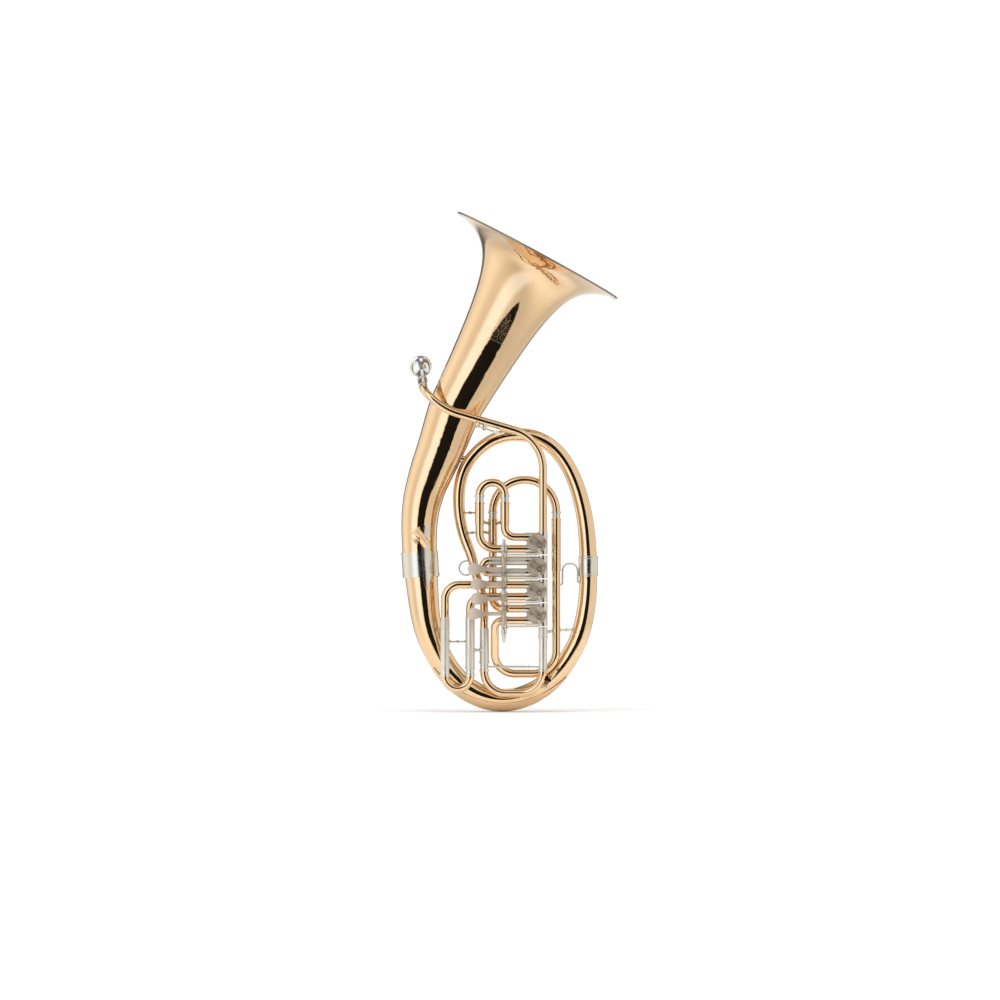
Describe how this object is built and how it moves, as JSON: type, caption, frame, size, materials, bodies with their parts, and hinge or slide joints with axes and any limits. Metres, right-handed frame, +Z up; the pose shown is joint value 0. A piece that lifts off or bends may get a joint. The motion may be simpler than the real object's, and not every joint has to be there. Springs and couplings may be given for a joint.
{
  "type": "baritone tuba",
  "caption": "Oval low-brass horn with a tilted bell, rotary valves with flat levers, tuning slides and a mouthpiece.",
  "frame": {"origin": "lowest point of the bottom bow, where a stand carries it, in the plane of the main tube", "axes": "+Z up the horn, +X towards the side the bell leans to, -Y towards the valve levers' side, which is the front"},
  "size_m": [0.3572, 0.3012, 0.825],
  "materials": {
    "brass": "clear lacquered gold brass, mirror polished",
    "nickel": "nickel silver, polished and lacquered",
    "slide_legs": "nickel silver, bright drawn tube",
    "levers": "nickel silver, satin",
    "silver": "silver plate, polished",
    "rotor": "bare machined brass",
    "spring": "blued spring steel",
    "cork": "dark cork and rubber bumper"
  },
  "bodies": {
    "horn": {"axle_brackets": "nickel", "bearing_plates": "nickel", "bell": "brass", "bell_ferrule": "nickel", "bell_rim_bead": "nickel", "bottom_bow": "brass", "bow_guard": "brass", "braces": "nickel", "branch_ferrule": "nickel", "hand_hook": "nickel", "leadpipe": "brass", "leadpipe_key_saddle": "nickel", "lever_axle": "nickel", "lever_springs": "spring", "lyre_holder": "brass", "main_branch": "brass", "mouthpiece_receiver": "nickel", "outer_sleeves": "nickel", "side_plate": "nickel", "slide_1_tubing": "brass", "slide_3_tubing": "brass", "slide_4_tubing": "brass", "stop_corks": "cork", "valve_back_caps": "nickel", "valve_casing_1": "nickel", "valve_casing_2": "nickel", "valve_casing_3": "nickel", "valve_casing_4": "nickel"},
    "valve_rotor_1": {"rotor_1": "rotor", "stop_arm_1": "nickel"},
    "lever_body_1": {"lever_1": "levers"},
    "link_body_1": {"link_1": "nickel"},
    "valve_rotor_2": {"rotor_2": "rotor", "stop_arm_2": "nickel"},
    "lever_body_2": {"lever_2": "levers"},
    "link_body_2": {"link_2": "nickel"},
    "valve_rotor_3": {"rotor_3": "rotor", "stop_arm_3": "nickel"},
    "lever_body_3": {"lever_3": "levers"},
    "link_body_3": {"link_3": "nickel"},
    "valve_rotor_4": {"rotor_4": "rotor", "stop_arm_4": "nickel"},
    "lever_body_4": {"lever_4": "levers"},
    "link_body_4": {"link_4": "nickel"},
    "first_slide": {"slide_1_crook": "brass", "slide_1_legs": "slide_legs"},
    "second_slide": {"slide_2_crook": "brass", "slide_2_legs": "slide_legs", "pull_ring": "nickel"},
    "third_slide": {"slide_3_crook": "brass", "slide_3_legs": "slide_legs"},
    "fourth_slide": {"slide_4_crook": "brass", "slide_4_legs": "slide_legs"},
    "main_slide": {"main_slide_crook": "brass", "main_slide_legs": "slide_legs"},
    "main_slide_key": {"slide_water_key": "nickel"},
    "leadpipe_key": {"leadpipe_water_key": "nickel"},
    "mouthpiece_body": {"mouthpiece": "silver"},
    "lyre_thumbscrew": {"lyre_screw": "brass"}
  },
  "joints": [
    {"name": "valve_1_turn", "type": "hinge", "parent": "horn", "child": "valve_rotor_1", "pos_m": [0.0568, -0.036, 0.2784], "axis": [0, 1, 0], "range_deg": [0, 90]},
    {"name": "lever_1_press", "type": "hinge", "parent": "horn", "child": "lever_body_1", "pos_m": [0.0024, -0.0515, 0.2784], "axis": [0, 0, -1], "range_deg": [0, 18.02], "stiffness_Nm_per_rad": 0.12, "springref_deg": -20.05},
    {"name": "link_1_travel", "type": "slide", "parent": "horn", "child": "link_body_1", "axis": [-1, 0, 0], "range_m": [0, 0.0078]},
    {"name": "valve_2_turn", "type": "hinge", "parent": "horn", "child": "valve_rotor_2", "pos_m": [0.0568, -0.036, 0.2391], "axis": [0, 1, 0], "range_deg": [0, 90]},
    {"name": "lever_2_press", "type": "hinge", "parent": "horn", "child": "lever_body_2", "pos_m": [0.0024, -0.0515, 0.2391], "axis": [0, 0, -1], "range_deg": [0, 18.02], "stiffness_Nm_per_rad": 0.12, "springref_deg": -20.05},
    {"name": "link_2_travel", "type": "slide", "parent": "horn", "child": "link_body_2", "axis": [-1, 0, 0], "range_m": [0, 0.0078]},
    {"name": "valve_3_turn", "type": "hinge", "parent": "horn", "child": "valve_rotor_3", "pos_m": [0.0568, -0.036, 0.1998], "axis": [0, 1, 0], "range_deg": [0, 90]},
    {"name": "lever_3_press", "type": "hinge", "parent": "horn", "child": "lever_body_3", "pos_m": [0.0024, -0.0515, 0.1998], "axis": [0, 0, -1], "range_deg": [0, 18.02], "stiffness_Nm_per_rad": 0.12, "springref_deg": -20.05},
    {"name": "link_3_travel", "type": "slide", "parent": "horn", "child": "link_body_3", "axis": [-1, 0, 0], "range_m": [0, 0.0078]},
    {"name": "valve_4_turn", "type": "hinge", "parent": "horn", "child": "valve_rotor_4", "pos_m": [0.0568, -0.036, 0.1605], "axis": [0, 1, 0], "range_deg": [0, 90]},
    {"name": "lever_4_press", "type": "hinge", "parent": "horn", "child": "lever_body_4", "pos_m": [0.0024, -0.0515, 0.1605], "axis": [0, 0, -1], "range_deg": [0, 18.02], "stiffness_Nm_per_rad": 0.12, "springref_deg": -20.05},
    {"name": "link_4_travel", "type": "slide", "parent": "horn", "child": "link_body_4", "axis": [-1, 0, 0], "range_m": [0, 0.0078]},
    {"name": "first_slide_pull", "type": "slide", "parent": "horn", "child": "first_slide", "axis": [0, 0, 1], "range_m": [-0.0025, 0.024]},
    {"name": "second_slide_pull", "type": "slide", "parent": "horn", "child": "second_slide", "axis": [-1, 0, 0], "range_m": [0, 0.03]},
    {"name": "third_slide_pull", "type": "slide", "parent": "horn", "child": "third_slide", "axis": [0, 0, -1], "range_m": [-0.0025, 0.036]},
    {"name": "fourth_slide_pull", "type": "slide", "parent": "horn", "child": "fourth_slide", "axis": [0, 0, 1], "range_m": [-0.006, 0.03]},
    {"name": "main_slide_pull", "type": "slide", "parent": "horn", "child": "main_slide", "axis": [0, 0, -1], "range_m": [0, 0.012]},
    {"name": "mouthpiece_pull", "type": "slide", "parent": "horn", "child": "mouthpiece_body", "axis": [-0.05, 0.9372, 0.3451], "range_m": [0, 0.03]},
    {"name": "main_key_press", "type": "hinge", "parent": "main_slide", "child": "main_slide_key", "pos_m": [0.07796, -0.03718, 0.05241], "axis": [-0.1031, -0.9947, 0], "range_deg": [0, 8], "stiffness_Nm_per_rad": 0.02, "springref_deg": -28.65},
    {"name": "leadpipe_key_press", "type": "hinge", "parent": "horn", "child": "leadpipe_key", "pos_m": [-0.02907, -0.05238, 0.46713], "axis": [0.2188, -0.9102, 0.3516], "range_deg": [0, 8], "stiffness_Nm_per_rad": 0.02, "springref_deg": -28.65},
    {"name": "lyre_screw_turn", "type": "hinge", "parent": "horn", "child": "lyre_thumbscrew", "pos_m": [-0.13424, -0.0408, 0.28857], "axis": [0.7848, 0, 0.6198], "range_deg": [0, 180]}
  ],
  "couplings": [
    {"joint": "lever_1_press", "follows": "valve_1_turn", "ratio": 0.2},
    {"joint": "link_1_travel", "follows": "valve_1_turn", "m_per_rad": 0.0049516},
    {"joint": "lever_2_press", "follows": "valve_2_turn", "ratio": 0.2},
    {"joint": "link_2_travel", "follows": "valve_2_turn", "m_per_rad": 0.0049516},
    {"joint": "lever_3_press", "follows": "valve_3_turn", "ratio": 0.2},
    {"joint": "link_3_travel", "follows": "valve_3_turn", "m_per_rad": 0.0049516},
    {"joint": "lever_4_press", "follows": "valve_4_turn", "ratio": 0.2},
    {"joint": "link_4_travel", "follows": "valve_4_turn", "m_per_rad": 0.0049516}
  ]
}
